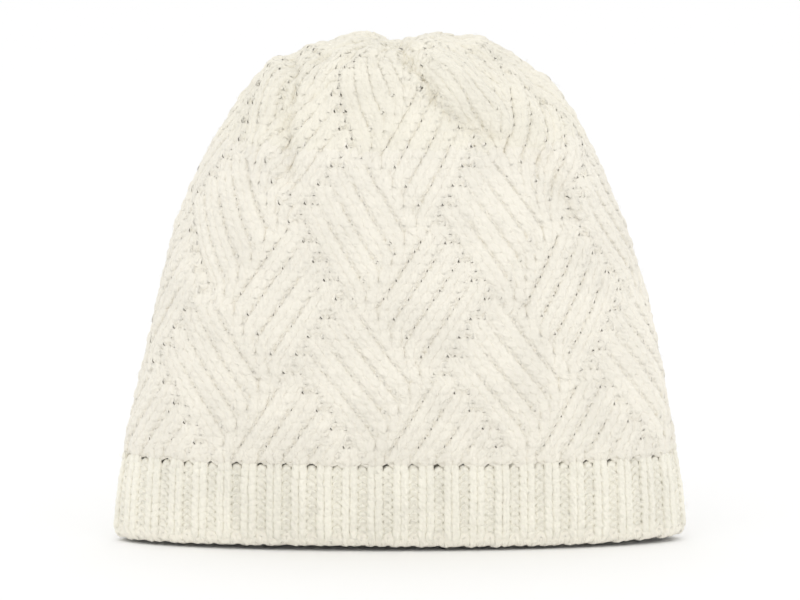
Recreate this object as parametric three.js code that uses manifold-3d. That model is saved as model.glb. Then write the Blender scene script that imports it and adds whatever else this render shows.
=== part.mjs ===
// Knit beanie standing on its brim: a ribbed band, a patterned tube and a gathered crown.
// Millimetres, +Z up, front of the hat towards -Y, origin under the middle of the brim.
import * as THREE from 'three';
import Module from 'manifold-3d';
import { mergeVertices } from 'three/addons/utils/BufferGeometryUtils.js';

// Overall form
const BRIM_WIDTH = 230;
const HEIGHT = 210;
const TAPER_POWER = 1.4;        // how late the side narrows towards the crown
const SHOULDER_POWER = 0.33;    // how square the shoulder of the crown is
const BRIM_DEPTH_RATIO = 0.30;  // depth over width at the brim, which is pressed flat
const DEPTH_GAIN = 0.57;        // extra depth over width at the crown, which is round
const DEPTH_POWER = 1.3;
const END_SHARPNESS = 0.12;     // how tight the two ends of the brim are folded

// Fabric
const FABRIC = 5;
const GAP = 0.3;
const JOIN_GAP = 0.8;
const RIBS = 48;
const RIB_RELIEF = 0.8;
const HEM_HEIGHT = 6.7;
const BAND_TOP = 38;
const CROWN_START = 166;
const HEM_ROUND = 1.8;

// Gathered crown
const PLEATS = 12;
const PLEAT_DEPTH = 2.2;
const GATHER_RADIUS = 6;
const GATHER_FORWARD = 8;
const DIP_DEPTH = 4;
const DIP_SPREAD = 20;

// Inside yarns and seams
const SEAM_RADIUS = 1.1;
const BACK_SEAM_WIDTH = 6;
const BACK_SEAM_DEPTH = 2;
const DRAWSTRING_RING = 3.9;
const DRAWSTRING_RADIUS = 1.3;
const KNOT_DROP = 4.6;
const TAIL_LENGTH = 22;
const TAIL_SPREAD = 8;

const AROUND = 60;
const BACK = Math.PI / 2;
const NORMAL_STEP = 0.002;

const IVORY = 0xece8da;
const IVORY_BAND = 0xede8d8;
const IVORY_HEM = 0xeae5d5;
const IVORY_SEAM = 0xe2ddcc;
const YARN_ROUGHNESS = 0.95;

const wasm = await Module();
wasm.setup();

function knit(colour) {
  return new THREE.MeshStandardMaterial({ color: colour, roughness: YARN_ROUGHNESS, metalness: 0 });
}

function smooth(from, to, value) {
  const part = Math.min(1, Math.max(0, (value - from) / (to - from)));
  return part * part * (3 - 2 * part);
}

// Half width of the hat at a height, and the height at a half width.
function halfWidth(height) {
  return (BRIM_WIDTH / 2) * Math.pow(1 - Math.pow(height / HEIGHT, TAPER_POWER), SHOULDER_POWER);
}

function heightAt(half) {
  const left = 1 - Math.pow(half / (BRIM_WIDTH / 2), 1 / SHOULDER_POWER);
  return HEIGHT * Math.pow(left, 1 / TAPER_POWER);
}

function depthRatio(height) {
  return BRIM_DEPTH_RATIO + DEPTH_GAIN * Math.pow(height / HEIGHT, DEPTH_POWER);
}

// The outer face of the fabric, before its pleats: an oval at each height.
function outline(angle, height) {
  const half = halfWidth(height);
  const sharpness = 1 + END_SHARPNESS * (1 - smooth(0, HEIGHT / 2, height));
  const side = Math.sign(Math.sin(angle)) * Math.pow(Math.abs(Math.sin(angle)), sharpness);
  const toTop = smooth(CROWN_START, HEIGHT, height);
  const point = new THREE.Vector3(half * Math.cos(angle), half * depthRatio(height) * side, height);
  point.y -= GATHER_FORWARD * toTop;
  const fromGather = Math.hypot(point.x, point.y + GATHER_FORWARD) / DIP_SPREAD;
  point.z -= DIP_DEPTH * Math.exp(-fromGather * fromGather) * toTop;
  return point;
}

function outward(angle, height) {
  const along = outline(angle + NORMAL_STEP, height).sub(outline(angle - NORMAL_STEP, height));
  const rise = outline(angle, height).sub(outline(angle, height * (1 - NORMAL_STEP)));
  return along.cross(rise).normalize();
}

function levelOutward(angle, height) {
  return outward(angle, height).setZ(0).normalize();
}

// Positive inset goes into the hat. The band and hem use level insets, so their ends stay flat.
function onBand(angle, height, inset) {
  const point = outline(angle, Math.max(height, 1));
  point.addScaledVector(levelOutward(angle, Math.max(height, 1)), -inset);
  return point.setZ(height);
}

function onBody(angle, height, inset) {
  return outline(angle, height).addScaledVector(outward(angle, height), -inset);
}

function onCrown(angle, height, inset) {
  const pleat = PLEAT_DEPTH * smooth(CROWN_START, heightAt(BRIM_WIDTH / 5), height);
  const fold = pleat * (1 - Math.cos(PLEATS * angle)) / 2;
  return onBody(angle, height, inset + fold);
}

function solid(points, triangles) {
  const geometry = new THREE.BufferGeometry();
  geometry.setAttribute('position', new THREE.Float32BufferAttribute(points, 3));
  geometry.setIndex(triangles);
  geometry.computeVertexNormals();
  return geometry;
}

// A closed profile of [height, inset] corners carried once round the hat.
function ring(profile, around, place) {
  const points = [];
  const triangles = [];
  const corners = profile.length;
  for (let step = 0; step < around; step += 1) {
    const angle = (2 * Math.PI * step) / around;
    for (const [height, inset] of profile) {
      points.push(...place(angle, height, inset, step).toArray());
    }
    for (let corner = 0; corner < corners; corner += 1) {
      const here = step * corners + corner;
      const above = step * corners + ((corner + 1) % corners);
      const next = ((step + 1) % around) * corners + corner;
      const nextAbove = ((step + 1) % around) * corners + ((corner + 1) % corners);
      triangles.push(here, next, nextAbove, here, nextAbove, above);
    }
  }
  return solid(points, triangles);
}

// A fabric wall: up the outer face through the given heights, and back down the inner face.
function wallProfile(heights) {
  const outer = heights.map((height) => [height, 0]);
  const inner = heights.map((height) => [height, FABRIC]).reverse();
  return [...outer, ...inner];
}

function evenly(from, to, steps) {
  return Array.from({ length: steps + 1 }, (_, index) => from + ((to - from) * index) / steps);
}

// The rounded cast-on edge that the hat stands on. Its lowest face is a flat strip.
function hemEdge() {
  const top = HEM_HEIGHT - GAP;
  const corner = HEM_ROUND * (1 - Math.SQRT1_2);
  const outer = [[0, HEM_ROUND], [corner, corner], [HEM_ROUND, 0], [top, 0]];
  const inner = outer.map(([height, inset]) => [height, FABRIC - inset]).reverse();
  return ring([...outer, ...inner], AROUND, onBand);
}

// Knit and purl ribs: every other facet of the band stands back by the relief.
function ribbedBand() {
  const ribbed = (angle, height, inset, step) => (
    onBand(angle, height, inset + (inset === 0 && step % 2 === 1 ? RIB_RELIEF : 0))
  );
  return ring(wallProfile([HEM_HEIGHT, (HEM_HEIGHT + BAND_TOP) / 2, BAND_TOP - GAP]), RIBS * 2, ribbed);
}

function patternedBody() {
  return ring(wallProfile(evenly(BAND_TOP + JOIN_GAP, CROWN_START - GAP, 12)), AROUND, onBody);
}

function gatheredCrown() {
  const widths = evenly(halfWidth(CROWN_START + GAP), GATHER_RADIUS, 9);
  return ring(wallProfile(widths.map(heightAt)), PLEATS * 6, onCrown);
}

// The linking chain that joins the body to the band, lying inside the wall.
function bandJoinSeam() {
  const middle = FABRIC + GAP * 2 + SEAM_RADIUS;
  const profile = evenly(0, 2 * Math.PI, 6).slice(0, -1).map((turn) => [
    BAND_TOP + SEAM_RADIUS * Math.sin(turn), middle - SEAM_RADIUS * Math.cos(turn),
  ]);
  return ring(profile, AROUND, onBand);
}

// A flat sewn seam up the inside of the back, between two heights.
function backSeam(from, to, steps, place) {
  const near = FABRIC + GAP * 2;
  const far = near + BACK_SEAM_DEPTH;
  const points = [];
  const triangles = [];
  for (const height of evenly(from, to, steps)) {
    for (const [side, inset] of [[-1, near], [1, near], [1, far], [-1, far]]) {
      const point = place(BACK, height, inset);
      point.x += (side * BACK_SEAM_WIDTH) / 2;
      points.push(...point.toArray());
    }
  }
  for (let step = 0; step < steps; step += 1) {
    for (let corner = 0; corner < 4; corner += 1) {
      const here = step * 4 + corner;
      const next = step * 4 + ((corner + 1) % 4);
      triangles.push(here, here + 4, next + 4, here, next + 4, next);
    }
  }
  const last = steps * 4;
  triangles.push(0, 1, 2, 0, 2, 3, last, last + 2, last + 1, last, last + 3, last + 2);
  return solid(points, triangles);
}

function crownDrawstring() {
  return new THREE.TorusGeometry(DRAWSTRING_RING, DRAWSTRING_RADIUS, 8, 24);
}

function toManifold(geometry) {
  const bare = geometry.clone();
  bare.deleteAttribute('normal');
  bare.deleteAttribute('uv');
  const merged = mergeVertices(bare, 1e-4);
  return new wasm.Manifold(new wasm.Mesh({
    numProp: 3,
    vertProperties: new Float32Array(merged.attributes.position.array),
    triVerts: new Uint32Array(merged.index.array),
  }));
}

function fromManifold(manifold) {
  const mesh = manifold.getMesh();
  return solid(Array.from(mesh.vertProperties), Array.from(mesh.triVerts));
}

function yarnTail(side) {
  const bends = evenly(0, 1, 3).map((share) => new THREE.Vector3(
    side * TAIL_SPREAD * Math.sin((share * Math.PI) / 2),
    (side * TAIL_SPREAD * share * share) / 2,
    -TAIL_LENGTH * share,
  ));
  const path = new THREE.CatmullRomCurve3(bends);
  const section = new THREE.Shape();
  section.absarc(0, 0, DRAWSTRING_RADIUS * 0.9, 0, 2 * Math.PI);
  return new THREE.ExtrudeGeometry(section, { steps: 10, curveSegments: 4, extrudePath: path });
}

// The knot that holds the drawstring, with its two cut tails hanging inside the crown.
function drawstringKnot() {
  const knot = toManifold(new THREE.SphereGeometry(DRAWSTRING_RADIUS * 2, 12, 8));
  return fromManifold(knot.add(toManifold(yarnTail(1))).add(toManifold(yarnTail(-1))));
}

function named(name, geometry, colour) {
  const mesh = new THREE.Mesh(geometry, knit(colour));
  mesh.name = name;
  return mesh;
}

const hat = new THREE.Group();
const gatherTop = outline(0, heightAt(GATHER_RADIUS)).z;
const drawstring = named('crown_drawstring', crownDrawstring(), IVORY_SEAM);
drawstring.position.set(0, -GATHER_FORWARD, gatherTop - FABRIC / 2);
const knotPiece = named('drawstring_knot', drawstringKnot(), IVORY_SEAM);
knotPiece.position.set(0, -GATHER_FORWARD, gatherTop - FABRIC / 2 - KNOT_DROP);
const bandSeam = backSeam(1, BAND_TOP - 2 * SEAM_RADIUS, 3, onBand);
const bodySeam = backSeam(BAND_TOP + 2 * SEAM_RADIUS, CROWN_START, 10, onBody);
hat.add(
  named('hem_edge', hemEdge(), IVORY_HEM),
  named('ribbed_band', ribbedBand(), IVORY_BAND),
  named('band_join_seam', bandJoinSeam(), IVORY_SEAM),
  named('patterned_body', patternedBody(), IVORY),
  named('gathered_crown', gatheredCrown(), IVORY),
  named('band_back_seam', bandSeam, IVORY_SEAM),
  named('body_back_seam', bodySeam, IVORY_SEAM),
  drawstring,
  knotPiece,
);

export default hat;
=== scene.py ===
"""Knit beanie: every course of yarn is a real tube that loops through the course below it.

The hat's surface is a grid of courses (rows of stitches) and places round the hat, counted in
stitches from the middle of the back. A stitch is one loop of yarn on that surface: a knit stitch
has its legs in front and a purl stitch its arc. The ribs of the body travel sideways by half a
stitch a course and turn every eight courses, which makes the lattice of diamonds.
"""
import math

import bpy
import numpy as np
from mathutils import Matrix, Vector


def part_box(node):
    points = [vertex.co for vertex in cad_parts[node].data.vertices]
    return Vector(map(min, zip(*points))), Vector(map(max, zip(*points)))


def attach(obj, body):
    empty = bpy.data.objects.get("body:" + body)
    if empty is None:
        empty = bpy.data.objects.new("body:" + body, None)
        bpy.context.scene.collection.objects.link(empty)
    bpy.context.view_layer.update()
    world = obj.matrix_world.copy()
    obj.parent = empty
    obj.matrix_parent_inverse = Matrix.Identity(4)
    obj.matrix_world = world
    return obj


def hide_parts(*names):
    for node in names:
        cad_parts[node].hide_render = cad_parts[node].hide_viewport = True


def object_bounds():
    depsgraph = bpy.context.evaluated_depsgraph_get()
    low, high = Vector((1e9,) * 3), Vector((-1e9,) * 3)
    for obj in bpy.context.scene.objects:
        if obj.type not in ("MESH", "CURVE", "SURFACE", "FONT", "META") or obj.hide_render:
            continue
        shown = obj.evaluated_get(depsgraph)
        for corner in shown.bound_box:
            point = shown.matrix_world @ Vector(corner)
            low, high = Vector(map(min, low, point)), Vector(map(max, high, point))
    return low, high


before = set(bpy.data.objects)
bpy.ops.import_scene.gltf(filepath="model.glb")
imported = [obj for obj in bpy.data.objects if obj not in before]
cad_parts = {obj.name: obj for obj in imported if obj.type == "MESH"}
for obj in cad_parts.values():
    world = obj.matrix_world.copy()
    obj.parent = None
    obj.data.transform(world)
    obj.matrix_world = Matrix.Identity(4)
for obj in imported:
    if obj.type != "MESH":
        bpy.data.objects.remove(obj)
CAD_LOW, CAD_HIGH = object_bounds()
MM = 0.001
TINY = 1e-12            # keeps a length of nothing from dividing
rng = np.random.default_rng(11)

# Overall form
WIDTH = CAD_HIGH.x - CAD_LOW.x
HEIGHT = CAD_HIGH.z - 3.4 * MM      # the yarn stands over this surface
TAPER_POWER = 1.4
SHOULDER_POWER = 0.33
BRIM_DEPTH_RATIO = 0.27
DEPTH_GAIN = 0.60
DEPTH_POWER = 1.3
END_SHARPNESS = 0.12
BAND_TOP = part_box("ribbed_band")[1].z
HEM_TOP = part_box("ribbed_band")[0].z
CROWN_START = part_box("gathered_crown")[0].z
GATHER_FORWARD = 8 * MM
BRIM_FLARE = 1.8 * MM
FLARE_SPAN = (10 * MM, 70 * MM)     # the flare fades between these heights
DIP_DEPTH = 4 * MM
DIP_SPREAD = 20 * MM
FABRIC_MIDDLE = 2.5 * MM
TOP_INSET = 0.6         # share of the fabric's middle by which the top sinks
TOP_START = 0.7         # share of the height where that begins

# Folds and swellings
LIP_REACH = 2.3         # a lip's distance from its valley and its own width, in valley widths
LIP_END = 12            # where a lip stops, in valley widths
FOLD_EDGE = 6 * MM      # folds fade out this close to the hat's sides
FOLD_FADE = (4, 1)      # and between so many courses before the gather
PLEATS = 15
PLEAT_DEPTH = 3.0       # mm
PLEAT_UNEVEN = (0.5, 1.2)   # each pleat's share of that depth lies between these
PLEAT_WIDTH = 0.2       # share of the room between two pleats
PLEAT_SHIFT = 0.22      # how uneven their spacing is, as such a share
PLEAT_BEND = 0.012      # how far they bend sideways, in turns round the hat
BEND_COURSES = 26       # over how many courses they bend
PLEAT_COURSES = 24      # how many courses long they are
PLEAT_SHORTER = 7       # by how many courses some are shorter
PLEAT_END = 3           # they fade over the last so many courses
WAVES = 9
WAVE_NUMBER = 38        # radians a metre
WAVE_HEIGHT = 1.4       # mm
WAVE_START = (2, 12)    # courses over which the waves set in
SWELL_START = (4, 12)   # courses over which the swellings do
DIAMOND_SWELL = 1.5     # mm
DIAMOND_START = (-1, 3)     # body courses over which the diamonds begin to swell
NARROWEST = 0.5         # stitches, so that no diamond's width reaches zero
SETTLE_TOP = 75 * MM    # the brim's unevenness fades up to this height
CORNER_LIFT = 0.8 * MM
CORNER_SPAN = (60 * MM, 116 * MM)
LEFT_LIFT = 0.6 * MM
LEFT_LIFT_AT = -30 * MM
LEFT_LIFT_REACH = 45 * MM

# Knitting
STITCHES = 96
HEM_COURSES = 4
BAND_COURSES = 10
CROWN_COURSE = 44       # where the body hands over to the crown
BODY_TIERS = (BAND_COURSES, 19, 28, 36, CROWN_COURSE)   # the body's pieces meet at these courses
COURSE = 3.75 * MM
GATHER_HALF_WIDTH = 1.2 * MM
GATHER_SINK = 5 * MM    # how far the drawstring pulls the last courses down
SINK_COURSES = 2.5      # over how many courses it does
REPEAT = 12             # stitches in one repeat of the lattice
TURN = 8                # courses between two turns of a travelling rib
SWAY = 2.0              # stitches that the lattice's edges sway to each side
FIRST_TURN = 1          # body course where the lattice starts
RIB_LEAN = 0.5          # stitches that a rib travels to the side in each course
TWIST = 0.8             # how far the lower body leans round the hat, in stitches
TWIST_SPAN = (2, 14)    # body courses over which it does
STRIP_DRAW = 0.12       # how far the purl strips draw together
STRIP_REACH = 2.2       # stitches round a strip that are drawn in
STRIP_RISE = 1.0        # how far the purl strips stand over single purl columns, in mm
DECREASES = ((3, 6), (5, 4), (8, 2))    # in the last so many courses, one stitch stands for so many

# Loops
LOOP_HEIGHT = 0.86      # half the height of a loop, in courses
LOOP_SQUARE = 0.12      # how much squarer it is than a plain wave
NEIGHBOUR_POWER = 1.5   # how late along a loop its values turn into its neighbour's
LEG_LAG = 0.3           # how much nearer the foot than halfway the legs stand out most
CROWDED_PITCH = 3.8 * MM    # stitches closer than this press their yarn thinner
PURL_THIN = 0.25        # how much thinner the yarn looks where purl loops pull it tight
BARE_CLOSE = 0.1        # how much narrower a rib's last loop closes, in stitch widths
BARE_SHORT = 0.1        # how much shorter it is
BARE_SINK = 0.5         # how far its head sinks in, in mm
ROW_UNEVEN = 0.03       # courses
PLACE_UNEVEN = 0.02     # stitches
OUT_UNEVEN = 0.1        # mm
WAVER = 0.03            # how much thicker and thinner the yarn gets along its length
SLOW_WAVERS = 17        # times in one course
QUICK_WAVERS = 41
WAVER_PHASE = 6.28
JOIN_OPENING = 1.02     # how far loops draw back from the small holes over the band
JOIN_UNEVEN = 0.35      # how unlike one another those holes are
JOIN_PINCH = 0.26       # how far the legs beside those holes draw together, in stitches
JOIN_THIN = 0.3         # how much thinner the yarn is there
HEM_CLEAR = 0.9 * MM    # room for the hem's loops under their middle line
HEM_TURN_RADIUS = 1.5 * MM
HEM_INSIDE_RISE = 1 * MM    # how far the hem's inside edge stands over its outside one
HEM_COLUMN = 0.4        # how far the purl columns' stitches stand back in the hem, in mm

# Sampling
PER_STITCH = 12         # points along the yarn of one stitch
SIDES = 8               # of a yarn's section
FINE = 6                # grid lines to each course and each stitch
FINE_LEVELS = 4000
OVAL_POINTS = 1441
HEM_TURN_POINTS = 13

# Stray fibres. Radius and length are in mm
FIBRES_PER_METRE = 600  # fibres of a course to each metre of its mean radius
FIBRE_POINTS = 4
FIBRE_SIDES = 4
FIBRE_RADIUS = 0.05
FIBRE_TAPER = 0.6       # share of its radius that a fibre loses
FIBRE_ROOT = 0.7        # where it starts, in radii of its yarn
FIBRE_LENGTH = (1.0, 3.0)
FIBRE_LIFT = (0.25, 0.75)   # how steeply it stands up
FIBRE_ARCH = 2.4        # how far it arches over, in radians
FIBRE_BEND = 0.5        # how far it bends sideways at most, in its own length

# Inside seams, drawstring and knot. Depths are in mm under the fabric's middle
CHAIN_LOOPS = 96
CHAIN_POINTS = 12       # points to each loop
CHAIN_SWING = 0.35      # how far the loops swing, in stitches and in courses
CHAIN_ROW = BAND_COURSES - 1.4
CHAIN_DEPTH = 3.4
CHAIN_RISE = 0.6
CHAIN_RADIUS = 0.7 * MM
WHIPS_PER_COURSE = 1.2
WHIP_POINTS = 16        # points to each whip stitch
WHIP_SWING = 0.42       # stitches to each side of the seam
WHIP_DEPTH = 4.0
WHIP_RISE = 0.9
WHIP_RADIUS = 0.75 * MM
BAND_WHIPS = (0.5, BAND_COURSES - 0.8)      # first and last course of the band's back seam
BODY_WHIPS = (BAND_COURSES + 0.4, CROWN_COURSE)
WRAPS = 3
WRAP_POINTS = 180
WRAP_SINK = 2 * MM      # how far the drawstring lies under the last course
WRAP_INSET = 1.3 * MM   # how far its middle line lies inside its box
WRAP_SWING = 0.7 * MM
WRAP_RISE = 0.6 * MM
WRAP_PHASE = 1.0        # radians
WRAP_RADIUS = 0.7 * MM
KNOT_SINK = 8 * MM      # how far the knot lies under the last course
KNOT_SIZE = 0.85        # mm
KNOT_OPEN = 0.62        # radians of the knot's curve left open for its tails
KNOT_POINTS = 60
KNOT_RADIUS = 0.8 * MM
TAIL_POINTS = 18
TAIL_CLEAR = 1 * MM     # how far the tails end over the foot of the knot's box
TAIL_SIDEWAYS = np.array([6.0 * MM, 2.0 * MM, 0])
TAIL_CURL = 2.2         # radians
TAIL_DROOP = 1.2        # power by which the tails fall faster towards their ends
ASIDE = (0.3, 0.9, 0.1)     # a direction that the tails don't start in

# Look of the yarn
PATCH_SHADE = 0.93      # how dark the faint patches are
PLIES = 3
PLY_TURN = 5.0 * MM     # length of yarn to one turn of its plies

# Studio
FLOOR_HALF = 6.0
PAPER = (0.96, 0.96, 0.96, 1)
PAPER_ROUGHNESS = 0.9
WORLD_LIGHT = 1.04
LAMP_AIM = Vector((0, 0, 0.1))
CAMERA_AIM = Vector((0, 0, 0.0975))
CAMERA_YAW = math.radians(0.5)
CAMERA_LIFT = math.radians(7.5)
CAMERA_DISTANCE = 2.233
LENS = 250              # mm
SENSOR_WIDTH = 36       # mm

# Each zone's yarn: radius, how much flatter it lies along the fabric, how far legs and arcs
# stand apart, how far knit stands over purl, how much of a purl neighbour's room a knit stitch
# takes, how much a loop's shoulders spread, how far a knit stitch's legs draw together and how
# far a purl stitch's feet sink. Radius, depth, relief and sink are in mm
HEM_YARN = dict(radius=1.6, flat=0.15, depth=0.4, relief=0.2,
                spread=0.0, bulge=0.2, hug=0.0, sink=0.0)
BAND_YARN = dict(radius=1.65, flat=0.15, depth=1.0, relief=0.65,
                 spread=0.16, bulge=0.22, hug=0.05, sink=0.8)
BODY_YARN = dict(radius=2.08, flat=0.22, depth=1.1, relief=0.55,
                 spread=0.40, bulge=0.255, hug=0.10, sink=0.2)


def smooth(start, end, value):
    part = np.clip((value - start) / (end - start), 0.0, 1.0)
    return part * part * (3 - 2 * part)


# ---------------------------------------------------------------- the hat's surface
def half_width(z):
    share = np.clip(z / HEIGHT, 0.0, 1.0)
    flare = BRIM_FLARE * (1 - smooth(*FLARE_SPAN, z))
    return WIDTH / 2 * np.power(1 - np.power(share, TAPER_POWER), SHOULDER_POWER) + flare


LEVELS = HEIGHT * np.sin(np.linspace(0, np.pi / 2, FINE_LEVELS))


def depth_ratio(z):
    return BRIM_DEPTH_RATIO + DEPTH_GAIN * np.power(np.clip(z / HEIGHT, 0, 1), DEPTH_POWER)


def wall_levels():
    """Height and half width of each grid line, from the band's foot to the gather."""
    band = np.linspace(HEM_TOP, BAND_TOP, BAND_COURSES * FINE + 1)
    half = np.linspace(half_width(BAND_TOP), GATHER_HALF_WIDTH, FINE_LEVELS)
    z = np.interp(-half, -half_width(LEVELS), LEVELS)
    mean_radius = half * (1 + depth_ratio(z)) / 2
    run = np.concatenate([[0], np.cumsum(np.hypot(np.diff(z), np.diff(mean_radius)))])
    lines = int(run[-1] / COURSE) * FINE
    steps = np.linspace(0, run[-1], lines + 1)[1:]
    heights = np.concatenate([band, np.interp(steps, run, z)])
    halves = np.concatenate([half_width(band), np.interp(steps, run, half)])
    return heights, halves


def hem_levels():
    """The hem's path as (height, inset): down the inside, round the foot and up the outside."""
    foot = HEM_YARN["radius"] * MM + HEM_TURN_RADIUS + HEM_CLEAR
    inside = FABRIC_MIDDLE + 2 * HEM_TURN_RADIUS
    path = [(HEM_TOP + HEM_INSIDE_RISE, inside)]
    for angle in np.linspace(0, np.pi, HEM_TURN_POINTS):
        path.append((foot - HEM_TURN_RADIUS * math.sin(angle),
                     FABRIC_MIDDLE + HEM_TURN_RADIUS * (1 + math.cos(angle))))
    path.append((HEM_TOP, FABRIC_MIDDLE))
    path = np.array(path)
    run = np.concatenate([[0], np.cumsum(np.hypot(*np.diff(path, axis=0).T))])
    even = np.linspace(0, run[-1], HEM_COURSES * FINE + 1)
    return np.interp(even, run, path[:, 0]), np.interp(even, run, path[:, 1])


def oval(z, half, inset):
    """One level of the hat at even spacing round it, from the middle of the back."""
    angle = np.linspace(0, 2 * np.pi, OVAL_POINTS)
    sharpness = 1 + END_SHARPNESS * (1 - smooth(0, HEIGHT / 2, z))
    x = -(half - inset) * np.sin(angle)
    y = (half * depth_ratio(z) - inset) * np.sign(np.cos(angle)) * np.abs(np.cos(angle)) ** sharpness
    run = np.concatenate([[0], np.cumsum(np.hypot(np.diff(x), np.diff(y)))])
    even = np.linspace(0, run[-1], STITCHES * FINE + 1)[:-1]
    return np.stack([np.interp(even, run, x), np.interp(even, run, y), np.full(len(even), z)], 1)


def normals_of(grid):
    around = np.roll(grid, -1, 1) - np.roll(grid, 1, 1)
    up = np.gradient(grid, axis=0)
    normal = np.cross(around, up)
    return normal / np.maximum(np.linalg.norm(normal, axis=2, keepdims=True), TINY)


# A fold's path is in mm as seen from the front: x to the right and z up. Then come the valley's
# depth and width, the height of the lip beside it, and the lip's side (+1 left of the way down)
FRONT_FOLDS = [
    ([(0, 205), (3, 198), (13, 185)], 5.0, 2.8, 3.4, 1),
    ([(15, 181), (35, 168), (54, 158), (62, 146)], 3.0, 3.4, 3.6, 1),
    ([(23, 202), (35, 186), (47, 171), (54, 159)], 2.0, 3.4, 1.0, 1),
    ([(49, 190), (58, 163)], 2.2, 3.0, 1.4, 1),
    ([(-43, 198), (-42, 188), (-45, 173), (-43, 150)], 4.4, 2.6, 3.2, -1),
    ([(-24, 205), (-37, 192)], 2.6, 2.6, 1.4, -1),
    ([(-86, 150), (-81, 122), (-74, 108)], 1.8, 3.2, 1.0, -1),
]
BACK_FOLDS = [
    ([(-2, 206), (-10, 190), (-14, 166)], 3.4, 3.2, 2.0, -1),
    ([(20, 203), (32, 188), (38, 166)], 2.8, 3.4, 1.6, 1),
    ([(-28, 201), (-42, 184), (-50, 162)], 2.6, 3.4, 1.6, -1),
    ([(48, 192), (60, 172)], 2.0, 3.4, 1.2, 1),
]
# Soft swellings of the front and the back alike: x, z, reach and height in mm
SWELLINGS = [
    (28, 206, 17, 2.4),
    (-22, 205, 17, 1.0),
    (52, 190, 15, 1.6),
    (-58, 186, 15, 0.8),
    (-50, 60, 34, 1.0),
    (46, 92, 36, 1.2),
    (106, 88, 38, 0.3),
    (-106, 88, 38, -2.4),
]


def fold(grid, path, depth, width, lip, side, facing):
    """Displacement of one fold: a narrow valley along its path, with a raised lip beside it."""
    x, z = grid[..., 0] / MM, grid[..., 2] / MM
    nearest = np.full(x.shape, np.inf)
    beside = np.zeros(x.shape)
    for (x0, z0), (x1, z1) in zip(path[:-1], path[1:]):
        dx, dz = x1 - x0, z1 - z0
        share = np.clip(((x - x0) * dx + (z - z0) * dz) / (dx * dx + dz * dz), 0, 1)
        distance = np.hypot(x - x0 - share * dx, z - z0 - share * dz)
        across = (z - z0) * dx - (x - x0) * dz
        beside = np.where(distance < nearest, np.sign(across) * distance, beside)
        nearest = np.minimum(nearest, distance)
    valley = -depth * np.exp(-(nearest / width) ** 2)
    lip_centre = LIP_REACH * width * side
    rise = lip * np.exp(-((beside - lip_centre) / (LIP_REACH * width)) ** 2)
    rise = rise * (nearest < LIP_END * width)
    seen = smooth(0, FOLD_EDGE, facing * grid[..., 1])
    return (valley + rise) * seen * MM


def swellings(grid):
    total = np.zeros(grid.shape[:2])
    for x, z, reach, height in SWELLINGS:
        away = np.hypot(grid[..., 0] / MM - x, grid[..., 2] / MM - z) / reach
        total += height * MM * np.exp(-away ** 2)
    return total


def pleats(shape, course):
    """Radial gathers of uneven depth that deepen towards the drawstring."""
    around = np.linspace(0, 1, shape[1], endpoint=False)[None, :]
    rows = course[:, None]
    last = rows[-1]
    total = np.zeros(shape)
    for index in range(PLEATS):
        bend = rng.uniform(-PLEAT_BEND, PLEAT_BEND) * smooth(last - BEND_COURSES, last, rows)
        centre = (index + rng.uniform(-PLEAT_SHIFT, PLEAT_SHIFT)) / PLEATS + bend
        away = np.abs((around - centre + 0.5) % 1.0 - 0.5) * PLEATS
        start = last - PLEAT_COURSES + rng.uniform(0, PLEAT_SHORTER)
        grow = smooth(start, last - PLEAT_END, rows)
        total -= rng.uniform(*PLEAT_UNEVEN) * grow * np.exp(-(away / PLEAT_WIDTH) ** 2)
    return total * PLEAT_DEPTH * MM * (1 - smooth(last - PLEAT_END, last, rows))


def undulation(grid):
    """Slow uneven swelling of the soft wall."""
    waves = np.zeros(grid.shape[:2])
    for _ in range(WAVES):
        wave = rng.normal(size=3) * WAVE_NUMBER
        waves += np.sin(grid @ wave + rng.uniform(0, 2 * np.pi))
    return waves / WAVES * WAVE_HEIGHT * MM


def sway_at(body_course):
    """Sideways place of the lattice's edges at a body course, in stitches: a zigzag."""
    step = np.maximum(body_course - FIRST_TURN, 0) / TURN
    zigzag = 1 - np.abs((step % 2) - 1)
    return SWAY * (2 * zigzag - 1)


def diamond_puff(course, around):
    """Each diamond swells a little between its edges."""
    body_course = course - BAND_COURSES
    sway = sway_at(body_course)
    first = REPEAT / 2 - 2 * sway
    position = (around * STITCHES - sway) % REPEAT
    in_first = position < first
    size = np.where(in_first, first, REPEAT - first)
    across = np.where(in_first, position, position - first) / np.maximum(size, NARROWEST)
    swell = np.sin(np.pi * np.clip(across, 0, 1)) * size / REPEAT
    return swell * DIAMOND_SWELL * MM * smooth(*DIAMOND_START, body_course)


def settle(grid):
    """The brim doesn't lie quite level: its right-hand corner and part of its left stand up a little."""
    x, z = grid[..., 0], grid[..., 2]
    low = 1 - smooth(0, SETTLE_TOP, z)
    grid[..., 2] += CORNER_LIFT * smooth(*CORNER_SPAN, x) * low
    grid[..., 2] += LEFT_LIFT * np.exp(-((x - LEFT_LIFT_AT) / LEFT_LIFT_REACH) ** 2) * low


def plain_grid():
    """The surface before it leans and folds, from the hem's inside edge to the gather."""
    hem = [oval(z, half_width(HEM_TOP), inset) for z, inset in zip(*hem_levels())]
    wall = [oval(z, half, FABRIC_MIDDLE) for z, half in zip(*wall_levels())]
    return np.stack(hem[:-1] + wall)


def lean_crown(grid):
    """The crown leans forward and dips round the gather."""
    to_top = smooth(CROWN_START, HEIGHT, grid[..., 2])
    grid[..., 1] -= GATHER_FORWARD * to_top
    from_gather = np.hypot(grid[..., 0], grid[..., 1] + GATHER_FORWARD) / DIP_SPREAD
    grid[..., 2] -= DIP_DEPTH * np.exp(-from_gather ** 2) * to_top


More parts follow.
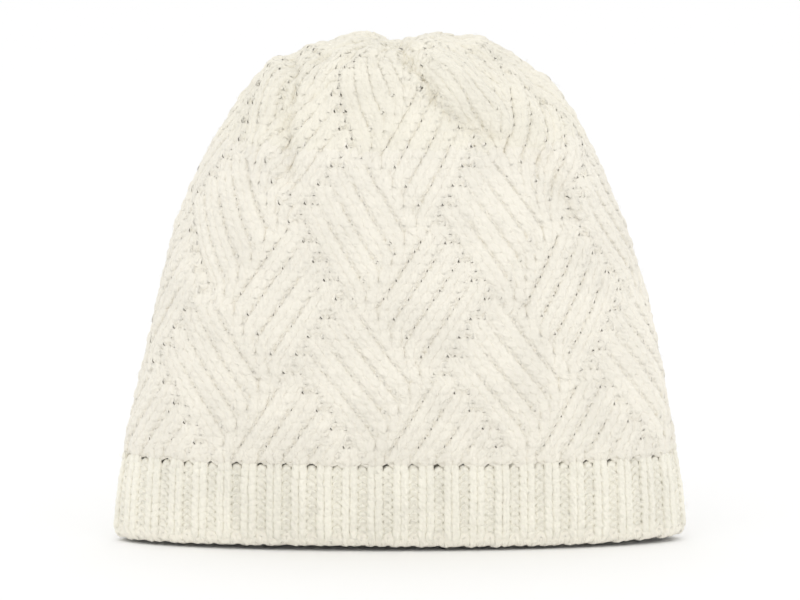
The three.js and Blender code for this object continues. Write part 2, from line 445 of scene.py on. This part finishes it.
def relief(grid, course):
    """How far each point moves out of the plain surface."""
    around = np.linspace(0, 1, grid.shape[1], endpoint=False)[None, :]
    rows = course[:, None]
    move = pleats(grid.shape[:2], course)
    move += undulation(grid) * smooth(*WAVE_START, rows)
    move += diamond_puff(rows, around)
    move += swellings(grid) * smooth(*SWELL_START, rows)
    fade_start, fade_end = course[-1] - np.array(FOLD_FADE)
    before_gather = 1 - smooth(fade_start, fade_end, rows)
    for facing, folds in ((-1, FRONT_FOLDS), (1, BACK_FOLDS)):
        for shape in folds:
            move += fold(grid, *shape, facing) * before_gather
    move -= FABRIC_MIDDLE * TOP_INSET * smooth(HEIGHT * TOP_START, HEIGHT, grid[..., 2])
    return move


def build_surface():
    """The grid's points and normals, with the course number of each grid line."""
    grid = plain_grid()
    course = (np.arange(len(grid)) - HEM_COURSES * FINE) / FINE
    lean_crown(grid)
    move = relief(grid, course)
    grid = grid + normals_of(grid) * move[..., None]
    grid[..., 2] -= GATHER_SINK * smooth(course[-1] - SINK_COURSES, course[-1], course)[:, None]
    settle(grid)
    return grid, normals_of(grid), course


GRID, NORMAL, COURSES = build_surface()
LAST_COURSE = int(COURSES[-1])
TOP_ROW = len(COURSES) - 1.001      # just under the last grid line, so that one stands over it


def sample(field, course, place):
    """Bilinear reading of a grid field at a course number and a place in stitches."""
    row = np.clip((course - COURSES[0]) * FINE, 0, TOP_ROW)
    column = (place % STITCHES) * FINE
    r0, c0 = np.floor(row).astype(int), np.floor(column).astype(int)
    fr, fc = (row - r0)[..., None], (column - c0)[..., None]
    columns = field.shape[1]
    low = field[r0, c0 % columns] * (1 - fc) + field[r0, (c0 + 1) % columns] * fc
    high = field[r0 + 1, c0 % columns] * (1 - fc) + field[r0 + 1, (c0 + 1) % columns] * fc
    return low * (1 - fr) + high * fr


# ---------------------------------------------------------------- stitches
# A loop runs from its left foot up over its head, at angle 0, and down to its right foot
LOOP_ANGLE = np.linspace(-np.pi, np.pi, PER_STITCH, endpoint=False)[None, :]
LOOP_SHARE = (LOOP_ANGLE + np.pi) / (2 * np.pi)
HEAD = np.clip(np.cos(LOOP_ANGLE), 0, 1)
FOOT = np.clip(-np.cos(LOOP_ANGLE), 0, 1)


def stitches_of(course):
    """Places, kinds (+1 knit, -1 purl), slopes and raised purl stitches of one course."""
    index = np.arange(STITCHES)
    level = np.zeros(STITCHES)
    if course < 0:
        return index.astype(float), np.ones(STITCHES), level, level
    if course < BAND_COURSES:
        return index.astype(float), np.where(index % 2 == 0, 1.0, -1.0), level, level
    for left, every in DECREASES:
        if LAST_COURSE - course <= left:
            count = STITCHES // every
            return index[:count] * float(every), np.ones(count), level[:count], level[:count]
    return lattice_stitches(course - BAND_COURSES)


def rib_stitch(j, strip, since, rising):
    """Whether one stitch of a repeat is knit, and which way it leans (+1 is right).

    Ribs that travel towards the strip end there. Ribs that travel away from the edge start there.
    """
    if j <= strip - (not rising):
        shift = 0 if rising else since
        knit = j == 0 or (j - shift) % 2 == 0
        side = 1
    else:
        shift = since if rising else 0
        knit = (REPEAT - j - shift) % 2 == 0
        side = -1
    if j == 0:
        side = 1 if rising else -1
    return knit, side


def lattice_stitches(body_course):
    """One body course: right-leaning ribs, a purl strip and left-leaning ribs in each repeat."""
    sway = float(sway_at(body_course))
    turns, since = divmod(max(body_course - FIRST_TURN, 0), TURN)
    rising = turns % 2 == 0
    lean = RIB_LEAN if body_course >= FIRST_TURN else 0.0
    strip = round(REPEAT / 2 - 2 * sway)
    lean_over = TWIST * smooth(*TWIST_SPAN, body_course)
    places, kinds, slopes, raised = [], [], [], []
    for start in range(0, STITCHES, REPEAT):
        for j in range(REPEAT):
            knit, side = rib_stitch(j, strip, since, rising)
            from_strip = j - strip
            drawn_in = STRIP_DRAW * from_strip * math.exp(-(from_strip / STRIP_REACH) ** 2)
            beside_edge = j == (REPEAT - 1 if rising else 1)
            places.append(start + sway + j - drawn_in - lean_over)
            kinds.append(1.0 if knit else -1.0)
            slopes.append(side * lean)
            raised.append(float((abs(from_strip) <= 1 or beside_edge) and not knit))
    slopes = np.array(slopes)
    slopes = (np.roll(slopes, 1) + 2 * slopes + np.roll(slopes, -1)) / 4
    return np.array(places), np.array(kinds), slopes, np.array(raised)


def yarn_of(course):
    if course < 0:
        return HEM_YARN
    if course == BAND_COURSES:
        return {key: (BAND_YARN[key] + BODY_YARN[key]) / 2 for key in BODY_YARN}
    return BAND_YARN if course < BAND_COURSES else BODY_YARN


def stitch_spans(places, kinds, spread):
    """Each stitch's left end and its width. A knit stitch takes some of a purl neighbour's room."""
    after = np.append(places[1:], places[0] + STITCHES)
    right = (places + after) / 2 + spread * (kinds - np.roll(kinds, -1)) / 2
    left = np.roll(right, 1)
    left[0] -= STITCHES
    return left[:, None], (right - left)[:, None]


def blended(values):
    """Each stitch's value along its loop, turning into its neighbours' at both ends."""
    near_left = np.clip(1 - LOOP_SHARE * 2, 0, 1) ** NEIGHBOUR_POWER / 2
    near_right = np.clip(LOOP_SHARE * 2 - 1, 0, 1) ** NEIGHBOUR_POWER / 2
    own = values[:, None] * (1 - near_left - near_right)
    return own + np.roll(values, 1)[:, None] * near_left + np.roll(values, -1)[:, None] * near_right


def loop_rise(course, places, kinds, bare):
    """How far the loops' points stand over their course, in courses."""
    wave = (1 + LOOP_SQUARE) * np.cos(LOOP_ANGLE) - LOOP_SQUARE * np.cos(3 * LOOP_ANGLE)
    rise = LOOP_HEIGHT * wave * (1 - BARE_SHORT * bare)
    if course == BAND_COURSES:
        opening = JOIN_OPENING * odd_columns(places)[:, None]
        rise = np.where(rise < 0, rise * (1 - opening), rise)
    if course == BAND_COURSES - 1:
        opening = JOIN_OPENING * (kinds < 0)[:, None]
        rise = np.where(rise > 0, rise * (1 - opening), rise)
    return rise


def loop_out(yarn, kind, in_strip):
    """How far the loops' points stand out of the fabric's middle, in mm."""
    lagging = np.abs(LOOP_ANGLE) - LEG_LAG * np.sin(np.abs(LOOP_ANGLE))
    out = kind * (yarn["relief"] - yarn["depth"] * np.cos(2 * lagging))
    out = out - yarn["sink"] * (1 - in_strip) * (1 - kind) / 2 * FOOT ** 2
    return out + STRIP_RISE * in_strip


def course_yarn(course):
    """Points, surface normals and radii of one course of yarn, all the way round the hat."""
    yarn = yarn_of(course)
    places, kinds, slopes, raised = stitches_of(course)
    left, width = stitch_spans(places, kinds, yarn["spread"])
    uneven = rng.normal(0, 1, (len(kinds), 3))
    kind = blended(kinds)
    bare = bare_heads(course, places, kinds)[:, None] * HEAD
    hole = join_hole(course) * (1 + JOIN_UNEVEN * uneven[:, 2:3])

    rise = loop_rise(course, places, kinds, bare)
    rows = course + rise + uneven[:, :1] * ROW_UNEVEN
    bulge = yarn["bulge"] - BARE_CLOSE * bare
    place = left + width * (LOOP_SHARE + bulge * np.sin(2 * LOOP_ANGLE)) + blended(slopes) * rise
    place = place - np.sin(LOOP_ANGLE) * (yarn["hug"] * (1 + kind) / 2 + JOIN_PINCH * hole)
    place = place + uneven[:, 1:2] * PLACE_UNEVEN
    out = loop_out(yarn, kind, blended(raised)) + uneven[:, 2:3] * OUT_UNEVEN - BARE_SINK * bare
    if course < 0:
        out = out - HEM_COLUMN * odd_columns(places)[:, None]

    crowding = crowding_of(course, len(kinds))
    normals = sample(NORMAL, rows, place)
    points = sample(GRID, rows, place) + normals * (out * MM * crowding)[..., None]
    radii = yarn["radius"] * MM * crowding * (1 - PURL_THIN * (1 - kind) / 2)
    radii = radii * (1 - JOIN_THIN * hole)
    return points.reshape(-1, 3), normals.reshape(-1, 3), radii.ravel()


def crowding_of(course, stitches):
    """How thin the yarn is pressed where stitches crowd together: 1 where they have room."""
    pitch = reach_of(course) * 2 * math.pi / stitches
    return min(1.0, math.sqrt(pitch / CROWDED_PITCH))


def join_hole(course):
    """Share of a loop that lies beside the small holes between the band and the body."""
    if course == BAND_COURSES - 1:
        return HEAD
    if course == BAND_COURSES:
        return FOOT
    return np.zeros_like(HEAD)


def odd_columns(places):
    """1 over the band's purl columns and 0 over its knit columns."""
    return np.round(places) % 2


def bare_heads(course, places, kinds):
    """1 for knit stitches with a purl stitch above, whose heads no other loop covers."""
    if course < BAND_COURSES or course + 1 >= LAST_COURSE:
        return np.zeros(len(places))
    above, above_kinds = stitches_of(course + 1)[:2]
    apart = np.abs((above[None, :] - places[:, None] + STITCHES / 2) % STITCHES - STITCHES / 2)
    return (kinds > 0) * (above_kinds[apart.argmin(1)] < 0)


def reach_of(course):
    """Mean distance of one course from the line up through the gather."""
    line = GRID[int((course - COURSES[0]) * FINE), :, :2]
    return np.hypot(*(line - GRID[-1, :, :2].mean(0)).T).mean()


def soften(points):
    """Rounds the small kinks between stitches."""
    return (np.roll(points, 1, 0) + 2 * points + np.roll(points, -1, 0)) / 4


def wavering(count):
    """Slow thick and thin places along a yarn."""
    along = np.linspace(0, 2 * np.pi, count)
    slow = WAVER * np.sin(SLOW_WAVERS * along + rng.uniform(0, WAVER_PHASE))
    quick = WAVER * np.sin(QUICK_WAVERS * along + rng.uniform(0, WAVER_PHASE))
    return 1 + slow + quick


# ---------------------------------------------------------------- yarn meshes
def ring_quads(rings, count, sides):
    """Quads of a tube with this many rings of faces, as vertex numbers."""
    here = np.arange(rings)[:, None]
    side = np.arange(sides)[None, :]
    after = (here + 1) % count
    beside = (side + 1) % sides
    corners = [here * sides + side, after * sides + side, after * sides + beside, here * sides + beside]
    return np.stack(corners, -1).reshape(-1, 4)


def ring_uvs(points, rings, sides):
    """Length along the yarn in metres, and share of a turn round it."""
    step = np.linalg.norm(np.roll(points, -1, 0) - points, axis=1)
    run = np.concatenate([[0], np.cumsum(step)])
    low = np.repeat(run[:rings, None], sides, 1)
    high = np.repeat(run[1:rings + 1, None], sides, 1)
    this = np.repeat(np.arange(sides)[None, :] / sides, rings, 0)
    beside = this + 1 / sides
    corners = [np.stack(pair, -1) for pair in ((low, this), (high, this), (high, beside), (low, beside))]
    return np.stack(corners, 2).reshape(-1, 2)


def cap_quads(first, sides, flip):
    """Closes one end of an open tube."""
    quads = [[first + a, first + a + 1, first + sides - 2 - a, first + sides - 1 - a]
             for a in range(sides // 2 - 1)]
    return np.array(quads)[:, ::-1] if flip else np.array(quads)


def tube(line, normals, radii, closed, sides=SIDES, flat=0.0):
    """One yarn's points, faces and UVs. A flat yarn is wider along the fabric than through it."""
    count = len(line)
    tangent = np.roll(line, -1, 0) - np.roll(line, 1, 0) if closed else np.gradient(line, axis=0)
    tangent /= np.maximum(np.linalg.norm(tangent, axis=1, keepdims=True), TINY)
    up = normals - (normals * tangent).sum(1, keepdims=True) * tangent
    up /= np.maximum(np.linalg.norm(up, axis=1, keepdims=True), TINY)
    across = np.cross(tangent, up)
    turn = np.arange(sides) * 2 * np.pi / sides
    ring = (1 - flat) * np.cos(turn)[None, :, None] * up[:, None]
    ring = ring + (1 + flat) * np.sin(turn)[None, :, None] * across[:, None]
    points = (line[:, None] + ring * radii[:, None, None]).reshape(-1, 3)
    rings = count if closed else count - 1
    faces = [ring_quads(rings, count, sides)]
    uvs = [ring_uvs(line, rings, sides)]
    if not closed:
        faces += [cap_quads(0, sides, True), cap_quads((count - 1) * sides, sides, False)]
        uvs.append(np.zeros((2 * (sides // 2 - 1) * 4, 2)))
    return points, np.concatenate(faces), np.concatenate(uvs)


def yarn_mesh(name, tubes):
    """One object made of tubes."""
    starts = np.cumsum([0] + [len(points) for points, _, _ in tubes])
    points = np.concatenate([points for points, _, _ in tubes])
    faces = np.concatenate([faces + start for (_, faces, _), start in zip(tubes, starts)])
    uvs = np.concatenate([uvs for _, _, uvs in tubes])
    return link_mesh(name, points, faces, uvs)


def stray_fibres(points, normals, radii, count):
    """Fine fibres that stand out of one course's yarn, as thin four-sided tubes."""
    fibres = []
    share = np.linspace(0, 1, FIBRE_POINTS)[:, None]
    thickness = (1 - FIBRE_TAPER * share[:, 0]) * FIBRE_RADIUS * MM
    for start in rng.integers(0, len(points), count):
        normal = normals[start]
        root = points[start] + normal * radii[start] * FIBRE_ROOT
        lean = rng.normal(size=3)
        lean -= normal * lean.dot(normal)
        lean /= np.linalg.norm(lean)
        bend = np.cross(normal, lean) * rng.uniform(-1, 1)
        length = rng.uniform(*FIBRE_LENGTH) * MM
        lift = rng.uniform(*FIBRE_LIFT) * np.sin(share * FIBRE_ARCH)
        line = root + length * (lean * share + bend * share ** 2 * FIBRE_BEND + normal * lift)
        fibres.append(tube(line, np.tile(normal, (FIBRE_POINTS, 1)), thickness, False, FIBRE_SIDES))
    return fibres


def link_mesh(name, points, faces, uvs):
    mesh = bpy.data.meshes.new(name)
    mesh.vertices.add(len(points))
    mesh.vertices.foreach_set("co", points.astype(np.float32).ravel())
    mesh.loops.add(len(faces) * 4)
    mesh.loops.foreach_set("vertex_index", faces.astype(np.int32).ravel())
    mesh.polygons.add(len(faces))
    mesh.polygons.foreach_set("loop_start", np.arange(len(faces), dtype=np.int32) * 4)
    mesh.polygons.foreach_set("use_smooth", np.ones(len(faces), bool))
    mesh.update(calc_edges=True)
    layer = mesh.uv_layers.new(name="yarn")
    layer.data.foreach_set("uv", uvs.astype(np.float32).ravel())
    piece = bpy.data.objects.new(name, mesh)
    bpy.context.scene.collection.objects.link(piece)
    return piece


def courses_piece(name, first, last):
    """A run of courses as one piece of knitting."""
    tubes = []
    for course in range(first, last):
        points, normals, radii = course_yarn(course)
        points = soften(soften(points))
        flat = yarn_of(course)["flat"]
        tubes.append(tube(points, normals, radii * wavering(len(points)), True, flat=flat))
        tubes += stray_fibres(points, normals, radii, int(reach_of(course) * FIBRES_PER_METRE))
    return yarn_mesh(name, tubes)


# ---------------------------------------------------------------- material
def linear(*srgb):
    return tuple(((channel / 255 + 0.055) / 1.055) ** 2.4 for channel in srgb)


def node(tree, kind, **inputs):
    """A new node with some of its sockets set."""
    made = tree.nodes.new(kind)
    for key, value in inputs.items():
        made.inputs[key.replace("_", " ")].default_value = value
    return made


def wire(tree, source, output, target, socket):
    tree.links.new(source.outputs[output], target.inputs[socket])


def patchy(tree, space, colour):
    """The yarn's colour with faint darker patches."""
    patches = node(tree, "ShaderNodeTexNoise", Scale=55.0, Detail=4.0)
    wire(tree, space, "Object", patches, "Vector")
    ramp = node(tree, "ShaderNodeValToRGB")
    dark, light = ramp.color_ramp.elements
    dark.position = 0.32
    dark.color = (*(channel * PATCH_SHADE for channel in colour), 1)
    light.position = 0.62
    light.color = (*colour, 1)
    wire(tree, patches, "Fac", ramp, "Fac")
    return ramp


def twisted_plies(tree, yarn):
    """A wave that winds round the yarn along its length, once for each ply."""
    twist = node(tree, "ShaderNodeVectorMath")
    twist.operation = "DOT_PRODUCT"
    twist.inputs[1].default_value = (2 * math.pi / PLY_TURN, PLIES * 2 * math.pi, 0)
    wire(tree, yarn, "UV", twist, 0)
    ply = node(tree, "ShaderNodeMath")
    ply.operation = "COSINE"
    wire(tree, twist, "Value", ply, 0)
    return ply


def bump(tree, texture, output, strength, distance, under=None):
    """One layer of bumps, laid over the layer under it."""
    layer = node(tree, "ShaderNodeBump", Strength=strength, Distance=distance)
    wire(tree, texture, output, layer, "Height")
    if under:
        wire(tree, under, "Normal", layer, "Normal")
    return layer


def yarn_bumps(tree, space, fuzz):
    """Bumps of twisted plies, then of clumps and then of fine fibres along the yarn."""
    yarn = node(tree, "ShaderNodeUVMap")
    yarn.uv_map = "yarn"
    clumps = node(tree, "ShaderNodeTexNoise", Scale=420.0, Detail=3.0)
    wire(tree, space, "Object", clumps, "Vector")
    along = node(tree, "ShaderNodeMapping", Rotation=(0, 0, 0.35), Scale=(700.0, 16.0, 1.0))
    wire(tree, yarn, "UV", along, "Vector")
    fibres = node(tree, "ShaderNodeTexNoise", Scale=1.0, Detail=4.0, Roughness=0.6, Distortion=0.6)
    wire(tree, along, "Vector", fibres, "Vector")
    layer = bump(tree, twisted_plies(tree, yarn), "Value", strength=0.45 * fuzz, distance=0.35 * MM)
    layer = bump(tree, clumps, "Fac", strength=0.8 * fuzz, distance=0.8 * MM, under=layer)
    return bump(tree, fibres, "Fac", strength=0.9 * fuzz, distance=0.5 * MM, under=layer)


def yarn_material(name, colour, fuzz=1.0):
    """Soft brushed yarn: twisted plies, fine fibres, faint colour change and a matt sheen."""
    material = bpy.data.materials.new(name)
    material.use_nodes = True
    tree = material.node_tree
    tree.nodes.clear()
    output = node(tree, "ShaderNodeOutputMaterial")
    shader = node(tree, "ShaderNodeBsdfPrincipled", Roughness=0.92, Specular_IOR_Level=0.18,
                  Sheen_Weight=0.25, Sheen_Roughness=0.6)
    space = node(tree, "ShaderNodeTexCoord")
    wire(tree, patchy(tree, space, colour), "Color", shader, "Base Color")
    wire(tree, yarn_bumps(tree, space, fuzz), "Normal", shader, "Normal")
    wire(tree, shader, "BSDF", output, "Surface")
    return material


MATERIALS = {
    # The hem and band are the body's yarn, painted a few levels lighter to offset the shade that falls
    # on them low down by the floor
    "hem_knit": yarn_material("hem_yarn_painted_lighter", linear(253, 248, 234)),
    "band_knit": yarn_material("band_yarn_painted_lighter", linear(252, 248, 234)),
    "body_knit": yarn_material("body_knit_yarn", linear(247, 242, 229)),
    "crown_knit": yarn_material("crown_knit_yarn", linear(247, 242, 227)),
    "seam_yarn": yarn_material("seam_thread", linear(232, 226, 206), fuzz=0.7),
}


def place_piece(piece, slot, *nodes):
    piece.data.materials.append(MATERIALS[slot])
    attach(piece, "root")
    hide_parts(*nodes)


# ---------------------------------------------------------------- knitting the hat
def knit_tiers(name, tiers, slot, part):
    """A long run of courses as several pieces, one from each of these courses to the next."""
    for number, (first, last) in enumerate(zip(tiers[:-1], tiers[1:]), 1):
        place_piece(courses_piece(f"{name}_{number}", first, last), slot, part)


def knit_hat():
    place_piece(courses_piece("hem_courses", -HEM_COURSES, 0), "hem_knit", "hem_edge")
    place_piece(courses_piece("band_courses", 0, BAND_COURSES), "band_knit", "ribbed_band")
    knit_tiers("body_courses", BODY_TIERS, "body_knit", "patterned_body")
    crown_tiers = (CROWN_COURSE, (CROWN_COURSE + LAST_COURSE) // 2, LAST_COURSE)
    knit_tiers("crown_courses", crown_tiers, "crown_knit", "gathered_crown")


def on_inside(rows, places, depth):
    """Points under the fabric, with their normals, for the seams' yarn."""
    normals = sample(NORMAL, rows, places)
    return sample(GRID, rows, places) - normals * depth[:, None], normals


def even_tube(points, normals, radius, closed=False):
    """A yarn that is equally thick all along."""
    return tube(points, normals, np.full(len(points), radius), closed)


def join_seam():
    """A chain of small loops all the way round inside the join of band and body."""
    turn = np.linspace(0, 2 * np.pi * CHAIN_LOOPS, CHAIN_LOOPS * CHAIN_POINTS, endpoint=False)
    places = turn / (2 * np.pi) * STITCHES / CHAIN_LOOPS + CHAIN_SWING * np.sin(2 * turn)
    rows = CHAIN_ROW + CHAIN_SWING * np.cos(turn)
    points, normals = on_inside(rows, places, (CHAIN_DEPTH + CHAIN_RISE * np.sin(turn)) * MM)
    piece = yarn_mesh("join_seam_chain", [even_tube(points, normals, CHAIN_RADIUS, closed=True)])
    place_piece(piece, "seam_yarn", "band_join_seam")


def back_seam(name, part, first, last):
    """Whip stitches over the back edges of the fabric, seen from the inside."""
    stitches = int((last - first) * WHIPS_PER_COURSE)
    turn = np.linspace(0, 2 * np.pi * stitches, stitches * WHIP_POINTS)
    rows = np.linspace(first, last, len(turn))
    places = WHIP_SWING * np.sin(turn)
    points, normals = on_inside(rows, places, (WHIP_DEPTH - WHIP_RISE * np.cos(turn)) * MM)
    piece = yarn_mesh(name, [even_tube(points, normals, WHIP_RADIUS)])
    place_piece(piece, "seam_yarn", part)


def carried_normals(points):
    """Normals that turn with the line as little as they can."""
    tangent = np.gradient(points, axis=0)
    tangent /= np.linalg.norm(tangent, axis=1, keepdims=True)
    normal = np.cross(tangent[0], ASIDE)
    normals = []
    for direction in tangent:
        normal = normal - direction * normal.dot(direction)
        normal = normal / np.linalg.norm(normal)
        normals.append(normal)
    return np.array(normals)


def drawstring():
    """Three wraps of yarn under the last course, drawn tight."""
    low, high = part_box("crown_drawstring")
    centre = Vector(GRID[-1].mean(0)) - Vector((0, 0, WRAP_SINK))
    ring = (high.x - low.x) / 2 - WRAP_INSET
    turn = np.linspace(0, 2 * WRAPS * np.pi, WRAP_POINTS)
    radius = ring + WRAP_SWING * np.sin(turn / WRAPS)
    points = np.stack([centre.x + radius * np.cos(turn), centre.y + radius * np.sin(turn),
                       centre.z + WRAP_RISE * np.cos(turn / WRAPS + WRAP_PHASE)], 1)
    normals = np.tile((0.0, 0.0, 1.0), (len(points), 1))
    piece = yarn_mesh("drawstring_wraps", [even_tube(points, normals, WRAP_RADIUS)])
    place_piece(piece, "seam_yarn", "crown_drawstring")


def knot_loops():
    """The overhand knot's middle line, a trefoil left open where its tails start."""
    turn = np.linspace(KNOT_OPEN, 2 * np.pi - KNOT_OPEN, KNOT_POINTS)
    trefoil = np.stack([np.sin(turn) + 2 * np.sin(2 * turn), -np.sin(3 * turn),
                        -np.cos(turn) + 2 * np.cos(2 * turn)], 1)
    return trefoil * KNOT_SIZE * MM + (GRID[-1].mean(0) - (0, 0, KNOT_SINK))


def knot_tail(end, side, down):
    """One tail from an end of the knot, falling by this much and swinging out to this side."""
    along = np.linspace(0, 1, TAIL_POINTS)[1:, None]
    sideways = side * TAIL_SIDEWAYS * np.sin(along * TAIL_CURL)
    return end + sideways * along + np.array([0, 0, down]) * along ** TAIL_DROOP


def knot():
    """The drawstring's overhand knot inside the crown, with its two tails."""
    loops = knot_loops()
    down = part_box("drawstring_knot")[0].z + TAIL_CLEAR - loops[0, 2]
    first_tail = knot_tail(loops[0], 1, down)
    last_tail = knot_tail(loops[-1], -1, down)
    points = np.concatenate([first_tail[::-1], loops, last_tail])
    yarn = even_tube(points, carried_normals(points), KNOT_RADIUS)
    piece = yarn_mesh("drawstring_knot_and_tails", [yarn])
    place_piece(piece, "seam_yarn", "drawstring_knot")


knit_hat()
join_seam()
back_seam("band_back_whip_stitches", "band_back_seam", *BAND_WHIPS)
back_seam("body_back_whip_stitches", "body_back_seam", *BODY_WHIPS)
drawstring()
knot()


# ---------------------------------------------------------------- studio
def floor():
    mesh = bpy.data.meshes.new("floor")
    corners = [(x * FLOOR_HALF, y * FLOOR_HALF, 0) for x, y in ((-1, -1), (1, -1), (1, 1), (-1, 1))]
    mesh.from_pydata(corners, [], [(0, 1, 2, 3)])
    sheet = bpy.data.objects.new("floor", mesh)
    bpy.context.scene.collection.objects.link(sheet)
    paper = bpy.data.materials.new("paper")
    paper.use_nodes = True
    shader = paper.node_tree.nodes["Principled BSDF"]
    shader.inputs["Base Color"].default_value = PAPER
    shader.inputs["Roughness"].default_value = PAPER_ROUGHNESS
    mesh.materials.append(paper)


def softbox(name, place, size, power):
    data = bpy.data.lights.new(name, "AREA")
    data.size = size
    data.energy = power
    lamp = bpy.data.objects.new(name, data)
    lamp.location = place
    lamp.rotation_mode = "QUATERNION"
    lamp.rotation_quaternion = (LAMP_AIM - Vector(place)).to_track_quat("-Z", "Y")
    bpy.context.scene.collection.objects.link(lamp)


def lights():
    world = bpy.data.worlds.new("studio")
    world.use_nodes = True
    background = world.node_tree.nodes["Background"]
    background.inputs["Color"].default_value = (1, 1, 1, 1)
    background.inputs["Strength"].default_value = WORLD_LIGHT
    bpy.context.scene.world = world
    softbox("key", place=(-0.5, -0.8, 1.2), size=1.2, power=1.2)
    softbox("fill", place=(0.9, -0.9, 0.5), size=0.9, power=0.7)
    bpy.context.scene.view_settings.view_transform = "Standard"


def camera():
    data = bpy.data.cameras.new("camera")
    data.lens = LENS
    data.sensor_width = SENSOR_WIDTH
    eye = bpy.data.objects.new("camera", data)
    level = math.cos(CAMERA_LIFT)
    away = Vector((-math.sin(CAMERA_YAW) * level, -math.cos(CAMERA_YAW) * level, math.sin(CAMERA_LIFT)))
    eye.location = CAMERA_AIM + away * CAMERA_DISTANCE
    eye.rotation_mode = "QUATERNION"
    eye.rotation_quaternion = (-away).to_track_quat("-Z", "Y")
    bpy.context.scene.collection.objects.link(eye)
    bpy.context.scene.camera = eye


floor()
lights()
camera()
